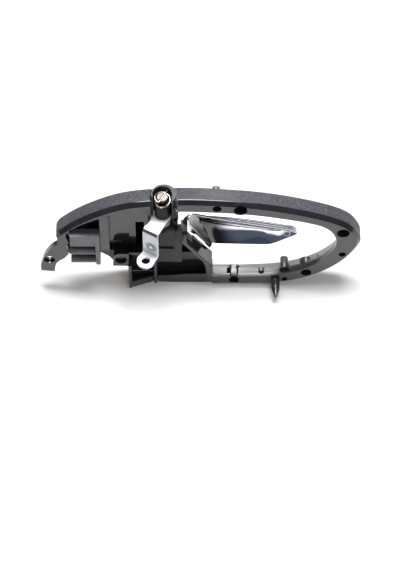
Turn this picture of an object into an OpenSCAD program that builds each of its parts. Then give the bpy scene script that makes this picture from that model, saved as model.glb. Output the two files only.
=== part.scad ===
// Inner door handle of a car: an oval ring that carries a hinged pull handle.
// Frame: X along the ring, Y from the door (back) towards the cabin (front), Z up.
// Origin: on the ring's back face, at the middle of its lower edge.

/* [Ring] */
// Overall length of the oval ring
ring_len = 208; // [190:1:230]
// Overall height of the oval ring
ring_h = 95; // [88:1:104]
// Depth of the ring, back face to front edge
ring_depth = 15; // [14:0.5:18]
// Thickness of the carrier's back flange
flange_t = 3.2; // [2.6:0.1:3.6]
// Chamfer along the flange's outer edge
flange_chamfer = 2.6; // [1:0.1:3]
// Thickness of the trim ring's outer wall
trim_wall = 1.8; // [1.2:0.1:2.4]
// Thickness of the trim ring's inner wall
inner_wall = 1.5; // [1:0.1:2]
// Thickness of the trim ring's front
front_t = 2.2; // [1.6:0.1:2.6]
// Depth of the opening's wall at the housing
lip_depth = 8.6; // [7:0.2:10]
// Slope of the trim's inner edge along the ring
lip_slope = 3.5; // [0:0.5:5]

/* [Housing] */
// Thickness of the housing's ribs and walls
rib_t = 2; // [1.6:0.1:3]
// Depth at which the housing's floor starts
skin_y = 9; // [8.6:0.1:9.6]
// Thickness of the housing's floor
skin_t = 1.8; // [1.2:0.1:2.2]
// Height of the cable box above the ring's lower edge
box_h = 27; // [22:1:30]
// Height of the lip along the cable box
box_lip = 6; // [4:0.5:8]
// Thickness of the ear that takes the mounting screw
ear_t = 4; // [3:0.5:6]
// Radius of the mounting screw's clearance hole
ear_hole_r = 2.6; // [2:0.1:3]
// Radius of the counterbore around that hole
ear_counterbore_r = 3.9; // [3.4:0.1:4.4]
// Radius of the hole in the small tab
tab_hole_r = 4.1; // [3:0.1:4.6]
// Thickness of the small tab
tab_t = 4; // [3:0.5:5]

/* [Locating features] */
// Radius of the tapered locating pin
pin_r = 3; // [2.4:0.1:3.4]
// Length of that pin's straight part
pin_straight = 8.5; // [6:0.5:12]
// Length of that pin's tapered part
pin_taper = 6.5; // [4:0.5:9]
// Radius of the upper locating hole
hole_upper_r = 3.1; // [2.4:0.1:3.4]
// Radius of the end locating hole
hole_end_r = 2.5; // [2:0.1:3]
// Radius of the lower locating hole
hole_lower_r = 2.1; // [1.6:0.1:2.4]

/* [Trim screws] */
// Radius of a trim screw's head
screw_head_r = 3.1; // [2.6:0.1:3.3]
// Height of a trim screw's head
screw_head_h = 1.9; // [1.4:0.1:2.2]
// Radius of a trim screw's shank
screw_shank_r = 1.4; // [1.2:0.1:1.6]
// Length of a trim screw's shank
screw_shank = 4; // [3:0.2:4.4]

/* [Hinge] */
// Hinge axis, along the ring from its middle
pivot_x = -30.7; // [-32:0.1:-29.6]
// Hinge axis, in front of the back face
pivot_y = 5; // [4.6:0.1:5.2]
// Radius of the hinge pin
shaft_r = 2.5; // [2:0.1:2.7]
// Radius of the hinge pin's head
shaft_head_r = 3.6; // [3.2:0.1:4]
// Running clearance around the hinge pin
run_gap = 0.05; // [0.02:0.01:0.09]
// Wall of the bearing bushings
bush_wall = 1.4; // [1:0.1:1.8]
// Gap between seated pieces of different bodies
seat_gap = 0.15; // [0.1:0.05:0.25]

/* [Bracket] */
// How far the shield around the spring rises above the hinge pin
shield_rise = 2.9; // [1.6:0.1:4.4]
// Outer radius of the shield
shield_r = 8.4; // [8:0.1:8.6]
// Inner radius of the shield
shield_bore = 6.6; // [6.3:0.1:6.8]
// Height of the bay that takes the handle's barrel
bay_h = 20.5; // [19.5:0.1:21]
// Height of the upper bearing block
block_h = 12; // [10:0.5:12]
// How far the bearing block stands behind the back face
block_back = 5; // [4:0.2:6]
// Height of the lower bearing plate above the ring's lower edge
plate_rise = 30.5; // [29.5:0.1:31]
// Thickness of the lower bearing plate
plate_t = 5; // [4:0.5:6]

/* [Crank lever] */
// Thickness of the lever's sheet
sheet_t = 2; // [1.4:0.1:2.2]
// Distance from the bearing block's top to the lever's arm
arm_rise = 6.3; // [5.8:0.1:6.6]
// Drop from the top arm to the eye arm
crank_drop = 24.5; // [20:0.5:28]
// Turn of the lever's web away from the ring's length
web_turn = 30; // [26:1:34]
// Distance of the lever's web from the hinge axis
web_back = 18; // [17:0.2:20]
// Width of the lever's web
web_w = 11.2; // [9:0.2:12]
// Outer radius of the cable eye
eye_r = 6; // [5.5:0.1:7]
// Radius of the cable eye's hole
eye_hole_r = 3.1; // [2.4:0.1:3.4]
// Outer radius of the bends
bend_r = 3; // [2.4:0.1:4]

/* [Return spring] */
// Outer radius of the coil
coil_r = 5.7; // [5.4:0.1:6]
// Radius of the spring wire
wire_r = 0.55; // [0.4:0.05:0.6]
// Height of the collar under the coil
collar_h = 12.4; // [12:0.1:13]
// Height of the coil, from the leg on the bracket to the last turn
coil_h = 0.8; // [0.7:0.1:1.2]
// Rise of the last turn to the slot in the pin's head
hook_rise = 4.65; // [4.2:0.05:4.8]

/* [Pull handle] */
// Length of the handle from the hinge axis to its tip
handle_len = 92.4; // [84:0.5:96]
// Height of the handle where it leaves the hinge
handle_h = 30; // [26:1:32]
// Wall of the hollow casting
shell_t = 1.9; // [1.5:0.1:2.4]
// Where the back rim of the casting lies
rim_y = 13.2; // [13:0.1:14]
// Front of the casting at its crown
crown_y = 23; // [21.5:0.5:25]
// Radius of the casting's crowned front
crown_r = 26; // [25:1:32]
// Slope of the crowned front towards the handle's tip
crown_slope = 4.4; // [3.5:0.1:5]
// Radius of the hinge barrel
barrel_r = 5.5; // [5:0.1:5.6]
// Opening angle of the handle, for viewing
open_angle = 0; // [0:1:40]

/* [Cable clip] */
// Length of the clip's ribbed block
clip_len = 17.5; // [15:0.5:19]
// Height of the clip
clip_h = 31; // [28:1:32]
// Radius of the clip's two lower ribs
clip_rib_r = 2.5; // [2:0.1:2.9]
// Thickness of the clip's side flange
clip_flange_t = 2.6; // [2:0.1:3]

/* [Hidden] */
$fn = 64;
eps = 0.01;
// The outlines are drawn for a ring of 208 by 95 mm and stretch with it.
kx = ring_len / 208;
kz = ring_h / 95;
function at(x, z) = [x * kx, z * kz];

// Outline of the oval ring, clockwise from its left end
outer_knots = [
    at(-103.8, 54), at(-97.2, 65.4), at(-80, 79), at(-59, 89.7), at(-36, 94), at(-6, 94.9),
    at(34.6, 90.4), at(68, 81.6), at(91, 71.2), at(101.4, 59.4), at(103.5, 46), at(92, 25.2),
    at(72.2, 9.3), at(48, 1.1), at(16, 0), at(-16, 0), at(-38, 1.3), at(-57, 7.6),
    at(-74.5, 20.8), at(-93, 38.2)];
// Inner edge of the back flange, the same way round
inner_knots = [
    at(-97, 56), at(-90.6, 67), at(-73, 77.8), at(-56, 83.6), at(-30, 85.2), at(-6, 85),
    at(28, 81.8), at(62, 74.2), at(80.6, 66), at(87.6, 51), at(82.4, 35.6), at(70, 22),
    at(50, 12.8), at(22, 9.9), at(-10, 9.9), at(-36, 8), at(-60, 15), at(-85, 35)];

// Closed smooth curve through knots, with steps points for each knot
function knot(k, i) = k[(i + len(k)) % len(k)];
function blend(a, b, c, d, t) =
    0.5 * (2 * b + (c - a) * t + (2 * a - 5 * b + 4 * c - d) * t * t
    + (3 * b - a - 3 * c + d) * t * t * t);
function smooth(k, steps) = [
    for (i = [0:len(k) - 1], s = [0:steps - 1])
    blend(knot(k, i - 1), knot(k, i), knot(k, i + 1), knot(k, i + 2), s / steps)];
// Moves a clockwise outline inwards by d
function inward(p, d) = [
    for (i = [0:len(p) - 1])
    let (v = knot(p, i + 1) - knot(p, i - 1)) p[i] + d * [v[1], -v[0]] / norm(v)];

outer_edge = smooth(outer_knots, 4);
inner_edge = smooth(inner_knots, 4);

// Heights along the hinge axis, from the lower bearing plate up
bush_flange_t = 0.9;
bush_flange_r = shaft_r + bush_wall + 1.4;
retainer_t = 1;
plate_z = plate_rise * kz;
hinge_low = plate_z + plate_t + 0.9;
block_z = plate_z + plate_t + bay_h;
barrel_top = block_z - 0.6;
block_top = block_z + block_h;
shaft_low = plate_z - bush_flange_t - retainer_t - 0.9;
sleeve_low = block_top + bush_flange_t + 0.1;
arm_z = block_top + arm_rise;
collar_low = arm_z + sheet_t + 0.02;
collar_top = collar_low + collar_h;
coil_low = collar_top + wire_r + 0.12;
coil_front = coil_low + coil_h;
wire_top = coil_front + hook_rise;
shaft_top = wire_top + 0.75;
head_h = 2;
shield_top = shaft_top + shield_rise;

// The wall that sweeps from the bearing bracket down to the lower rail
sweep_inner = [at(-17.2, 53.4), at(-12, 45.4), at(-7.7, 37.1), at(-4.4, 29.8), at(-2.1, 23), at(0, 4)];
sweep_outer = [at(2.8, 4), at(2.8, 24), at(-2.2, 30.5), at(-10, 42.5), at(-14, 48.8), at(-15.4, 53.4)];
// Where the wall rises beside the hinge arm it stays shallow
sweep_split_z = 43.5 * kz;
sweep_shallow = 4.5;

// Flat cuts between the carrier's solids
rail_cut = 3.4 * kx;
end_cut = 57.5 * kx;
mid_cut = 46 * kz;
top_cut = 64 * kz;
ear_cut = -92 * kx;
panel_cut = 36.6 * kz;

// Hinge window in the trim's front
window_left = pivot_x + 1.2;
window_low = barrel_top - 11.9;
window_high = barrel_top + 3.6;

// Slot in the ring's upper rail that takes the bracket
bracket_left = pivot_x - 7.9;
bracket_right = pivot_x + 10;
bracket_front = 12.9;
shield_y = pivot_y - 0.2;
shield_x = pivot_x + 0.8;
shield_low = arm_z + sheet_t + 1.1;
slot_turn = 62;
leg_left = pivot_x + 6.3;
leg_right = pivot_x + 12.7;
relief_r = 7.2;

// Holes in the flange
hole_upper = at(5.8, 88.4);
hole_end = at(92.1, 36.5);
hole_lower = at(53.3, 7.5);
locating_pin = at(46.9, 7.2);
ear_hole = at(-109.3, 30.6);
tab_hole = at(-60, 30);
skin_hole = at(-78.2, 57.1);
skin_hole_r = 3.7;
screw_sites = [at(21.5, 86.4), at(91.6, 60.9), at(68, 15.1), at(18.1, 6.4)];
well_r = [4.6, 4.4, 3.7, 3.5];
well_wall = 1;
well_y = flange_t + 2.3;
well_floor = 1.6;
post_y = well_y + well_floor;

clip_left = -94 * kx;
clip_right = clip_left + clip_len;
clip_top = 61 * kz;
clip_front = 4;
clip_pin_at = [clip_left - 1.25, 43.7 * kz];
partition_x = clip_right + clip_flange_t + 0.3;
partition_t = 6.2;
bay_cut = partition_x + partition_t;
pocket_left = -36.5 * kx;
box_left = -55 * kx;
box_y_left = -3.2;
box_y_right = 3.2;
rail_back = 2.6;

// Prism along Y over an outline in X and Z
module slab(p, y0, y1) {
    translate([0, y1, 0])
        rotate([90, 0, 0])
            linear_extrude(height = y1 - y0)
                polygon(p);
}

// Cylinder along Y
module peg(c, r, y0, y1) {
    translate([c[0], y0, c[1]])
        rotate([-90, 0, 0])
            cylinder(r = r, h = y1 - y0);
}

// Cone along Y
module taper(c, r0, r1, y0, y1) {
    translate([c[0], y0, c[1]])
        rotate([-90, 0, 0])
            cylinder(r1 = r0, r2 = r1, h = y1 - y0);
}

// Cylinder along the hinge axis
module hinge_rod(r, z0, z1) {
    translate([pivot_x, pivot_y, z0])
        cylinder(r = r, h = z1 - z0);
}

// Box between two corners
module block(a, b) {
    translate(a)
        cube(b - a);
}

// Turns the moving pieces about the hinge axis
module swung() {
    translate([pivot_x, pivot_y, 0])
        rotate([0, 0, open_angle])
            translate([-pivot_x, -pivot_y, 0])
                children();
}

// Room that the bracket takes out of the ring
module bracket_room(front) {
    block([bracket_left - seat_gap, -1, window_high], [bracket_right + seat_gap, front, ring_h + 10]);
    translate([shield_x, shield_y, shield_low - 1])
        cylinder(r = shield_r + seat_gap, h = ring_h);
}

// Right part of the opening, where the trim's inner edge slopes
slope_left = 9;
slope_low_left = 3.2 * kx;
function slope_edge(d) = [
    for (p = inward(inner_edge, -d)) [max(p[0], p[1] < mid_cut ? slope_low_left : slope_left), p[1]]];

module lip_cutter(shift) {
    hull() {
        translate([slope_left, lip_depth - shift, 0])
            rotate([0, 0, -lip_slope])
                translate([-slope_left, 0, 0])
                    slab(slope_edge(0), 0, eps);
        slab(slope_edge(6.5), ring_depth - shift + 0.5, ring_depth - shift + 0.5 + eps);
    }
}

// The carrier is one moulding. It is given as eleven solids that meet at flat cuts.
module carrier_part(a, b) {
    color([0.09, 0.09, 0.1])
        intersection() {
            carrier_body();
            block([a[0], -30, a[1]], [b[0], 30, b[1]]);
        }
}

module carrier_upper_rail() {
    carrier_part([bracket_right, top_cut], [end_cut, 2 * ring_h]);
}

module carrier_end_upper() {
    carrier_part([end_cut, mid_cut], [ring_len, 2 * ring_h]);
}

module carrier_end_lower() {
    carrier_part([end_cut, -10], [ring_len, mid_cut]);
}

module carrier_lower_rail() {
    carrier_part([rail_cut, -10], [end_cut, mid_cut]);
}

module carrier_left_rail() {
    carrier_part([ear_cut, top_cut], [bracket_left, 2 * ring_h]);
}

// Floor, ledges and partition of the bay that takes the cable clip
module carrier_clip_bay() {
    carrier_part([ear_cut, -10], [bay_cut, top_cut]);
}

module carrier_panel() {
    carrier_part([bay_cut, panel_cut], [bracket_left, top_cut]);
}

// Box around the lever's eye, with the tab at its left
module carrier_box() {
    carrier_part([bay_cut, -10], [pocket_left, panel_cut]);
}

// Pocket beside the box, and the swept wall
module carrier_pocket() {
    carrier_part([pocket_left, -10], [rail_cut, panel_cut]);
}

module carrier_sweep_top() {
    carrier_part([bracket_left, panel_cut], [rail_cut, top_cut]);
}

module carrier_ear() {
    carrier_part([-ring_len, -10], [ear_cut, 2 * ring_h]);
}

module carrier_body() {
    difference() {
        union() {
            back_flange();
            housing();
            cable_box();
            sweep_wall();
            ear();
            for (i = [0:3])
                peg(screw_sites[i], well_r[i] + well_wall, 0.5, post_y);
            peg(locating_pin, pin_r, -pin_straight, 1);
            taper(locating_pin, 0.9, pin_r, -pin_straight - pin_taper, -pin_straight);
        }
        bracket_room(bracket_front + 1);
        for (i = [0:3]) {
            peg(screw_sites[i], well_r[i], -1, well_y);
            peg(screw_sites[i], screw_shank_r + 0.1, 0, post_y + 1);
        }
        peg(hole_upper, hole_upper_r, -1, flange_t + 1);
        peg(hole_end, hole_end_r, -1, flange_t + 1);
        peg(hole_lower, hole_lower_r, -1, flange_t + 1);
        peg(ear_hole, ear_hole_r, -1, ear_t + 1);
        peg(ear_hole, ear_counterbore_r, -1, ear_t / 2);
        peg(tab_hole, tab_hole_r, -1, tab_t + 1);
    }
}

// Oval flange with a chamfered edge, open in the middle and at the lower left
module back_flange() {
    difference() {
        hull() {
            slab(inward(outer_edge, flange_chamfer), 0, eps);
            slab(outer_edge, flange_chamfer, flange_t);
        }
        slab(inner_edge, -1, flange_t + 1);
        block([-ring_len, -1, -1], [pocket_left + 1.5, flange_t + 1, 46 * kz]);
        block([clip_left - 0.1, -1, -1], [clip_right, flange_t + 1, 48.5 * kz]);
        block([pocket_left, -1, -1], [2.8 * kx, rail_back, 12 * kz]);
    }
}

// Floor, partition and rails of the left housing
module housing() {
    floor_edge = [
        at(-98.5, 52), at(-85, 35), at(-74.2, 27), at(-69.5, 23.4), at(-66.6, 18.6), at(-65.5, 14.5),
        at(-55, 9.5), at(-54, 5), at(0, 5), at(1.2, 12), at(-2.1, 24)];
    upper_edge = [
        [-8 * kx, plate_z - 3.5], [bracket_left - seat_gap, plate_z - 3.5],
        [bracket_left - seat_gap, 91 * kz], at(-58, 87.5),
        at(-80, 76.5), at(-96, 63.4)];
    difference() {
        slab(concat(floor_edge, upper_edge), skin_y, skin_y + skin_t);
        slab([at(-69, 29.5), at(-69, 41), at(-58.4, 41), at(-57, 35), at(-59, 29.5)], 0, ring_depth);
        block([-49.6 * kx, 0, 37 * kz], [-43.8 * kx, ring_depth, 62 * kz]);
        peg(skin_hole, skin_hole_r, 0, ring_depth);
    }
    // Wall under the upper rail, and the left end
    intersection() {
        difference() {
            slab(inward(inner_edge, -rib_t), 0.5, skin_y + 0.5);
            slab(inner_edge, 0, skin_y + 1);
        }
        slab([at(-110, 49), at(-110, 100), at(-36, 100), at(-36, 70), at(-90, 49)], 0, skin_y + 0.5);
        slab(inward(outer_edge, trim_wall + 0.3), 0, skin_y + 1);
    }
    // Partition between the clip's bay and the panel
    block([partition_x, 0, 41.8 * kz], [bay_cut, skin_y + 0.5, 79.4 * kz]);
    // Ledges that the cable clip rests on
    for (x = [-90.5, -81.5])
        block([(x - 1) * kx, clip_front + 0.05, 38 * kz], [(x + 1) * kx, skin_y + 0.5, 57 * kz]);
    // Web above the tab and the tab itself
    block([-58.2 * kx, tab_t - 1, 23.2 * kz], [-55 * kx, skin_y + 0.5, 37 * kz]);
    slab([at(-65.8, 23.2), at(-65.4, 30), at(-64.8, 35), at(-62, 37), at(-54.5, 37), at(-54.5, 23.2)],
        0, tab_t);
    block([-65.4 * kx, tab_t - 1, 33.8 * kz], [-55 * kx, skin_y + 0.5, 36.6 * kz]);
}

// Open box around the lever's eye, and the pocket beside it
module cable_box() {
    box_top = box_h * kz;
    translate([0, 0, 1.2])
        linear_extrude(height = 2)
            polygon([[box_left, box_y_left], [pocket_left, box_y_right], [pocket_left, skin_y + 1],
                     [box_left, skin_y + 1]]);
    translate([0, 0, 1.2])
        linear_extrude(height = box_lip)
            polygon([[box_left, box_y_left], [pocket_left + 1, box_y_right + 0.2],
                     [pocket_left + 1, box_y_right + rib_t], [box_left, box_y_left + rib_t]]);
    block([box_left, box_y_left, 1.2], [box_left + rib_t, skin_y + 1, box_top]);
    // Rib between the box and the pocket
    block([pocket_left - rib_t / 2, 0.8, 1.5], [pocket_left + rib_t / 2, skin_y + 1, box_top]);
    // Floor of the pocket
    block([pocket_left, rail_back, 3], [1 * kx, skin_y + 1, 5.4]);
    // Shelf that closes the pocket's top
    block([-56 * kx, 2, 33.8 * kz], [-44 * kx, skin_y + 0.5, 35.8 * kz]);
    block([bracket_left - rib_t, 1, box_top], [bracket_left - seat_gap, skin_y + 1, 86 * kz]);
}

// Swept wall at the opening's left side, shallow beside the hinge arm
module sweep_wall() {
    edge = concat(sweep_inner, sweep_outer);
    difference() {
        slab(edge, 0.2, 12);
        block([-40, sweep_shallow, sweep_split_z], [10, 20, ring_h]);
    }
    difference() {
        slab([at(-19, 52), at(-12, 41), at(-9, 36), at(-1, 24), at(0, 14), at(2.8, 14),
              at(2.8, 22), at(-3.4, 31), at(-11, 43), at(-16.5, 52)], 0, 2.4);
        hinge_rod(relief_r, 0, ring_h);
        block([leg_left - 1, -3, plate_z - 1], [leg_right + seat_gap, sweep_shallow, ring_h]);
    }
}

// Ear with the mounting screw's hole
module ear() {
    slab([at(-103, 57), at(-96.6, 60), at(-97.4, 47.6), at(-95.9, 36.5), at(-98.6, 32.6),
          at(-102.1, 29.4), at(-104.6, 26.3), at(-105.7, 22), at(-106.4, 16.6), at(-115.7, 17.8),
          at(-115.6, 24), at(-113.6, 31.6), at(-111.8, 36.3), at(-109.2, 41), at(-107, 44.5),
          at(-105, 46.6), at(-102.9, 48)], 0, ear_t);
    intersection() {
        slab([at(-102, 50), at(-102, 62), at(-95.5, 62), at(-94.3, 55), at(-96.4, 47)],
            ear_t - 1, skin_y + 1);
        slab(inward(outer_edge, trim_wall + 0.3), 0, skin_y + 2);
    }
}

module trim_ring() {
    color([0.3, 0.3, 0.31])
        difference() {
            union() {
                trim_shell();
                for (i = [0:3])
                    peg(screw_sites[i], well_r[i] + well_wall, post_y + 0.05, trim_post_end(i));
                // Stepped post, small post and boss along the inner wall
                peg(at(53.1, 13.9), 3.5, 3.4, 7.2);
                peg(at(53.1, 13.9), 2.8, 3.4, 13.2);
                peg(at(37.1, 10.5), 2.1, 3.4, 6.8);
                peg(at(77.2, 24.6), 2.2, 3.4, 7);
                // Front locating post
                peg(at(5.2, 88.2), 2.7, ring_depth - 4, ring_depth + 2.8);
            }
            for (i = [0:3])
                peg(screw_sites[i], screw_shank_r, flange_t, well_y + screw_shank + 0.1);
            for (i = [0:3])
                peg(screw_sites[i], well_r[i] + well_wall + seat_gap, flange_t - 1, post_y + 0.05);
            for (x = [14.3, 19.7])
                block([(x - 1.2) * kx, flange_t, 4.5], [(x + 1.2) * kx, 8, 10.8 * kz]);
        }
}

// The posts end inside the front's slope
function trim_post_end(i) = [10.5, 8.4, 10.4, 10.4][i];

// Hollow ring with a rounded front edge and a sloping inner edge
module trim_shell() {
    back = flange_t + 0.08;
    opening = concat(
        [for (p = inner_edge) if (p[0] > 4 * kx) p],
        [[2.8 * kx, 10.4 * kz], at(1.3, 15), at(-1, 22.4), at(-14.5, window_low / kz),
         [window_left, window_low], [window_left, window_high], [-20.3 * kx, window_high],
         [-20.3 * kx, 85 * kz]]);
    channel = inward(outer_edge, trim_wall);
    difference() {
        hull() {
            slab(outer_edge, back, ring_depth - 3.6);
            slab(inward(outer_edge, 0.9), ring_depth - 1.4, ring_depth - 1.4 + eps);
            slab(inward(outer_edge, 2.2), ring_depth - 0.4, ring_depth - 0.4 + eps);
            slab(inward(outer_edge, 4.2), ring_depth - eps, ring_depth);
        }
        slab(opening, 0, ring_depth + 1);
        lip_cutter(0);
        difference() {
            slab(channel, back - 1, ring_depth - front_t);
            // The inner wall stays
            intersection() {
                slab(inward(inner_edge, -inner_wall), back, ring_depth);
                block([3.2 * kx, back, -1], [ring_len, ring_depth, ring_h]);
            }
            lip_cutter(front_t);
        }
        // The lower left edge is open for the cable box, the clip and the ear
        block([-ring_len, 0, -1], [pocket_left + 1.1, ring_depth - front_t, 46 * kz]);
        block([-ring_len, 0, -1], [-96 * kx, ear_t + 0.1, 62 * kz]);
        bracket_room(bracket_front + 0.1);
    }
}

module pivot_bracket() {
    color([0.06, 0.06, 0.065])
        difference() {
            union() {
                // Shield around the spring, open towards the door
                difference() {
                    translate([shield_x, shield_y, shield_low])
                        cylinder(r = shield_r, h = shield_top - shield_low);
                    hinge_rod(shield_bore, shield_low - 1, shield_top + 1);
                    block([pivot_x - 20, -20, shield_low - 1], [leg_left, pivot_y - 2, shield_top + 1]);
                }
                // Wall behind the spring
                block([bracket_left, pivot_y + 6.4, window_high + 0.2],
                    [bracket_right, bracket_front, ring_h - 1.5]);
                // Left wall
                block([bracket_left, pivot_y + 0.6, plate_z + 0.3],
                    [bracket_left + 1.6, bracket_front - 2, block_top + 15]);
                block([bracket_left, -2, plate_z + 0.3], [bracket_left + 1.6, pivot_y + 1, block_top]);
                // Right leg
                block([leg_left, 1, block_z], [bracket_right, bracket_front - 1, ring_h + 1.2]);
                block([leg_left, -2, plate_z], [leg_right, sweep_shallow - 0.2, block_top - 2]);
                // Upper bearing block and lower bearing plate
                block([bracket_left, -block_back, block_z], [leg_left + 1.6, pivot_y + 7, block_top]);
                block([bracket_left, -1.7, plate_z], [leg_right - 2, pivot_y + 5.6, plate_z + plate_t]);
                // Wall behind the handle's barrel, with a ledge under the bearing block
                block([bracket_left, -2.8, block_z - 10.4], [leg_left + 1, -1.1, block_z - 8.9]);
                block([bracket_left, -1.7, plate_z + 1], [leg_left + 1, -1.1, block_z + 1]);
            }
            hinge_rod(shaft_r + bush_wall, plate_z - 1, block_top + 1);
            // Room for the lever's arm, and the notch that holds the spring's leg
            hinge_rod(relief_r, arm_z - 0.8, arm_z + sheet_t + 0.8);
            block([bracket_left - 1, -6, arm_z - 0.8],
                [bracket_right + 1, pivot_y - 1.5, arm_z + sheet_t + 0.8]);
            block([bracket_left - 1, -6, arm_z - 0.8], [pivot_x - 5, pivot_y + 4.4, arm_z + sheet_t + 0.8]);
            block([leg_left - 1.5, -6, coil_low - wire_r - 0.1],
                [bracket_right + 1, pivot_y + 1.3, coil_low + wire_r + 0.25]);
            hinge_rod(barrel_r + 0.35, plate_z + plate_t, block_z);
        }
}

module bushing(z0, z1, flange_z) {
    color([0.86, 0.85, 0.8])
        difference() {
            union() {
                hinge_rod(shaft_r + bush_wall - 0.01, z0, z1);
                hinge_rod(bush_flange_r, flange_z, flange_z + bush_flange_t);
            }
            hinge_rod(shaft_r + run_gap, z0 - 2, z1 + 2);
        }
}

module upper_bushing() {
    bushing(block_z, block_top + bush_flange_t, block_top);
}

module lower_bushing() {
    bushing(plate_z - bush_flange_t, plate_z + plate_t, plate_z - bush_flange_t);
}

module thrust_washer() {
    color([0.75, 0.75, 0.76])
        difference() {
            hinge_rod(barrel_r - 0.4, plate_z + plate_t, hinge_low - 0.08);
            hinge_rod(shaft_r + run_gap, plate_z, hinge_low + 1);
        }
}

module pivot_pin() {
    color([0.7, 0.7, 0.72])
        swung()
            difference() {
                union() {
                    hinge_rod(shaft_r, shaft_low, shaft_top - head_h);
                    hinge_rod(shaft_head_r, shaft_top - head_h, shaft_top);
                }
                // Slot across the head, for the spring's end
                translate([pivot_x, pivot_y, shaft_top - 1.4])
                    rotate([0, 0, slot_turn])
                        translate([-5, -0.7, 0])
                            cube([10, 1.4, 2]);
            }
}

module pin_retainer() {
    color([0.55, 0.55, 0.57])
        swung()
            difference() {
                hinge_rod(shaft_r + 1.9, shaft_low + 0.7, shaft_low + 0.7 + retainer_t);
                hinge_rod(shaft_r + 0.01, shaft_low, shaft_low + 4);
            }
}

module spacer_sleeve() {
    color([0.62, 0.62, 0.64])
        swung()
            difference() {
                hinge_rod(shaft_r + 1.3, sleeve_low, arm_z - 0.02);
                hinge_rod(shaft_r + 0.01, sleeve_low - 1, arm_z + 1);
            }
}

module spring_collar() {
    color([0.07, 0.07, 0.07])
        swung()
            difference() {
                hinge_rod(coil_r - 0.4, collar_low, collar_top);
                hinge_rod(shaft_r + 0.01, arm_z, coil_low);
            }
}

// Route of the spring wire: a leg in the bracket's notch, the coil, and a bent end in the pin's slot
coil_mean_r = coil_r - wire_r;
hook_r = 1.2;
leg_angle = 35;
front_angle = 270;
hook_angle = front_angle + 270 + slot_turn - asin(hook_r / (coil_mean_r - hook_r));
coil_steps = 14;
rise_steps = 14;
hook_steps = 4;
function on_circle(r, a, z) = [r * cos(a), r * sin(a), z];
spring_route = concat(
    [[9.6, -7.4, coil_low]],
    [for (i = [0:coil_steps])
     on_circle(coil_mean_r, leg_angle + (front_angle - leg_angle) * i / coil_steps,
         coil_low + (coil_front - coil_low) * i / coil_steps)],
    [for (i = [1:rise_steps])
     on_circle(coil_mean_r, front_angle + (hook_angle - front_angle) * i / rise_steps,
         coil_front + (wire_top - coil_front) * sin(90 * i / rise_steps))],
    [for (i = [1:hook_steps])
     on_circle(coil_mean_r - hook_r, hook_angle, wire_top)
     + on_circle(hook_r, hook_angle + (front_angle + 360 + slot_turn - hook_angle) * i / hook_steps, 0)],
    [on_circle(5.9, slot_turn, wire_top)]);

// Ring of points around the route at step i
wire_sides = 8;
function heading(p, i) = p[min(i + 1, len(p) - 1)] - p[max(i - 1, 0)];
function wire_ring(p, i) =
    let (t = heading(p, i), side = cross(t, [0, 0, 1]) / norm(cross(t, [0, 0, 1])),
         up = cross(side, t) / norm(t))
    [for (k = [0:wire_sides - 1])
     p[i] + wire_r * (cos(360 * k / wire_sides) * side + sin(360 * k / wire_sides) * up)];

module wire(p) {
    last = (len(p) - 1) * wire_sides;
    polyhedron(
        points = [for (i = [0:len(p) - 1]) each wire_ring(p, i)],
        faces = concat(
            [[for (k = [0:wire_sides - 1]) k]],
            [for (i = [0:len(p) - 2], k = [0:wire_sides - 1])
             let (a = i * wire_sides + k, b = i * wire_sides + (k + 1) % wire_sides)
             [a, a + wire_sides, b + wire_sides, b]],
            [[for (k = [wire_sides - 1:-1:0]) last + k]]));
}

module return_spring() {
    color([0.78, 0.77, 0.75])
        translate([pivot_x, pivot_y, 0])
            wire(spring_route);
}

// Side view of the folded sheet, with rounded bends
module crank_profile() {
    eye_z = arm_z - crank_drop;
    translate([bend_r - web_back, arm_z])
        square([40, sheet_t]);
    translate([-web_back, eye_z + bend_r])
        square([sheet_t, crank_drop + sheet_t - 2 * bend_r]);
    translate([-web_back - 20, eye_z])
        square([20 + sheet_t - bend_r, sheet_t]);
    translate([bend_r - web_back, arm_z + sheet_t - bend_r])
        corner(180, 90);
    translate([sheet_t - bend_r - web_back, eye_z + bend_r])
        corner(270, 0);
}

// Quarter ring of the sheet's thickness
module corner(a, b) {
    intersection() {
        difference() {
            circle(r = bend_r);
            circle(r = bend_r - sheet_t);
        }
        polygon([[0, 0], [9 * cos(a), 9 * sin(a)], [9 * (cos(a) + cos(b)), 9 * (sin(a) + sin(b))],
                 [9 * cos(b), 9 * sin(b)]]);
    }
}

// Plan view of the lever from its hinge axis: hub, stepped arm, web and eye
hub_r = 5.8;
web_left = 0.3 - web_w / 2;
web_right = 0.3 + web_w / 2;
eye_centre = [0.3, -web_back - 5.9];

module crank_plan() {
    circle(r = hub_r);
    polygon([[0, 3], [-5, 2.5], [-7.4, -0.2], [-7.2, -2.4], [-4.6, -8], [-4.6, 4 - web_back],
             [web_right, 4 - web_back], [hub_r - 0.3, -1.8]]);
    polygon([[web_left, 4.6 - web_back], [web_left, -web_back - 1.2], [web_right, -web_back - 1.2],
             [web_right, 4.6 - web_back]]);
    polygon([[web_left, -web_back - 1], eye_centre + [0.1 - eye_r, 0.6], eye_centre + [eye_r - 0.2, -1.4],
             [web_right, -web_back - 1]]);
    translate(eye_centre)
        circle(r = eye_r);
}

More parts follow.
